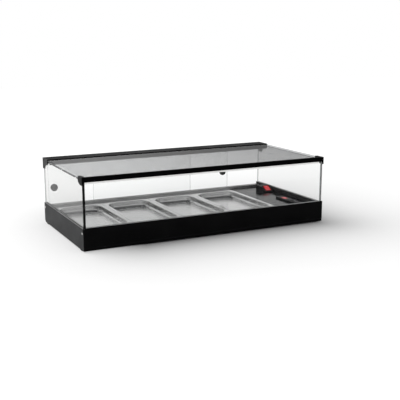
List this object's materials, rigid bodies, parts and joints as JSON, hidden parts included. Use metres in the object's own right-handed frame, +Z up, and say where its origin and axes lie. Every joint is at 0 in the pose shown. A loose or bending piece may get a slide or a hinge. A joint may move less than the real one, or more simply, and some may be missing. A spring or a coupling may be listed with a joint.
{
  "type": "heated food display case",
  "caption": "Low glass counter case that keeps tapas warm in catering pans over a heated plate, with rear sliding glass doors, a light and a flat glass top.",
  "frame": {"origin": "centre of the case's outline on the counter, under the feet", "axes": "+X along the case to the right as the customer sees it, the customer's side faces -Y, +Z up"},
  "size_m": [0.8724, 0.43, 0.23],
  "materials": {
    "cheek_paint": "matte dark grey powder coat",
    "foot_rubber": "matte",
    "fascia_gloss": "gloss black",
    "case_steel": "plain sheet",
    "stainless": "satin stainless steel",
    "insulation": "mineral board",
    "mat_silicone": "red silicone",
    "plate_aluminium": "mill finish",
    "clear_glass": "clear",
    "top_glass": "grey tint",
    "seal_black": "satin",
    "pad_clear": "clear silicone",
    "rail_black": "satin black",
    "light_aluminium": "anodised",
    "led_white": "lit",
    "diffuser_white": "milky",
    "track_dark": "satin",
    "track_light": "satin",
    "control_gloss": "gloss dark grey",
    "console_black": "satin black",
    "lit_red": "lit red",
    "rocker_dark": "satin black",
    "board_green": "circuit board",
    "gland_black": "moulded",
    "block_white": "moulded",
    "driver_white": "moulded",
    "cutout_steel": "plain",
    "screw_bright": "polished"
  },
  "bodies": {
    "case": {"left_cheek": "cheek_paint", "right_cheek": "cheek_paint", "feet": "foot_rubber", "front_fascia": "fascia_gloss", "floor_tray": "case_steel", "rear_panel": "case_steel", "well_top": "stainless", "insulation_board": "insulation", "heating_mat": "mat_silicone", "heating_plate": "plate_aluminium", "bay_divider": "case_steel", "left_glass": "clear_glass", "right_glass": "clear_glass", "front_glass": "clear_glass", "left_corner_seal": "seal_black", "right_corner_seal": "seal_black", "glass_pads": "pad_clear", "top_glass": "top_glass", "front_rail": "rail_black", "left_front_cap": "rail_black", "right_front_cap": "rail_black", "light_channel": "light_aluminium", "led_strip": "led_white", "light_diffuser": "diffuser_white", "rear_rail": "rail_black", "left_rear_bracket": "rail_black", "right_rear_bracket": "rail_black", "lower_track": "track_dark", "upper_track": "track_light", "control_deck": "control_gloss", "switch_console": "console_black", "main_switch_body": "console_black", "control_strip": "console_black", "display": "lit_red", "control_board": "board_green", "light_switch_body": "console_black", "cable_gland": "gland_black", "gland_nut": "gland_black", "terminal_block": "block_white", "light_driver": "driver_white", "safety_cutout": "cutout_steel", "cheek_screws": "screw_bright"},
    "left_door": {"left_door_glass": "clear_glass", "left_door_pull": "track_dark"},
    "right_door": {"right_door_glass": "clear_glass", "right_door_pull": "track_dark"},
    "main_rocker": {"main_rocker": "lit_red"},
    "light_rocker": {"light_rocker": "rocker_dark"},
    "set_button": {"set_button": "rocker_dark"},
    "down_button": {"down_button": "rocker_dark"},
    "up_button": {"up_button": "rocker_dark"},
    "pan_1": {"pan_1": "stainless"},
    "pan_2": {"pan_2": "stainless"},
    "pan_3": {"pan_3": "stainless"},
    "pan_4": {"pan_4": "stainless"}
  },
  "joints": [
    {"name": "left_door_slide", "type": "slide", "parent": "case", "child": "left_door", "axis": [1, 0, 0], "range_m": [0, 0.3]},
    {"name": "right_door_slide", "type": "slide", "parent": "case", "child": "right_door", "axis": [1, 0, 0], "range_m": [-0.1645, 0.1355]},
    {"name": "pan_1_lift", "type": "slide", "parent": "case", "child": "pan_1", "axis": [0, 0, 1], "range_m": [0, 0.12]},
    {"name": "pan_2_lift", "type": "slide", "parent": "case", "child": "pan_2", "axis": [0, 0, 1], "range_m": [0, 0.12]},
    {"name": "pan_3_lift", "type": "slide", "parent": "case", "child": "pan_3", "axis": [0, 0, 1], "range_m": [0, 0.12]},
    {"name": "pan_4_lift", "type": "slide", "parent": "case", "child": "pan_4", "axis": [0, 0, 1], "range_m": [0, 0.12]},
    {"name": "main_rocker_turn", "type": "hinge", "parent": "case", "child": "main_rocker", "pos_m": [0.3995, 0.09389, 0.06571], "axis": [1, 0, 0], "range_deg": [-12, 0]},
    {"name": "light_rocker_turn", "type": "hinge", "parent": "case", "child": "light_rocker", "pos_m": [0.378, -0.1355, 0.06], "axis": [1, 0, 0], "range_deg": [-12, 0]},
    {"name": "set_button_press", "type": "slide", "parent": "case", "child": "set_button", "axis": [0, 0, -1], "range_m": [0, 0.0006], "stiffness_N_per_m": 400, "springref_m": -0.001},
    {"name": "down_button_press", "type": "slide", "parent": "case", "child": "down_button", "axis": [0, 0, -1], "range_m": [0, 0.0006], "stiffness_N_per_m": 400, "springref_m": -0.001},
    {"name": "up_button_press", "type": "slide", "parent": "case", "child": "up_button", "axis": [0, 0, -1], "range_m": [0, 0.0006], "stiffness_N_per_m": 400, "springref_m": -0.001}
  ]
}
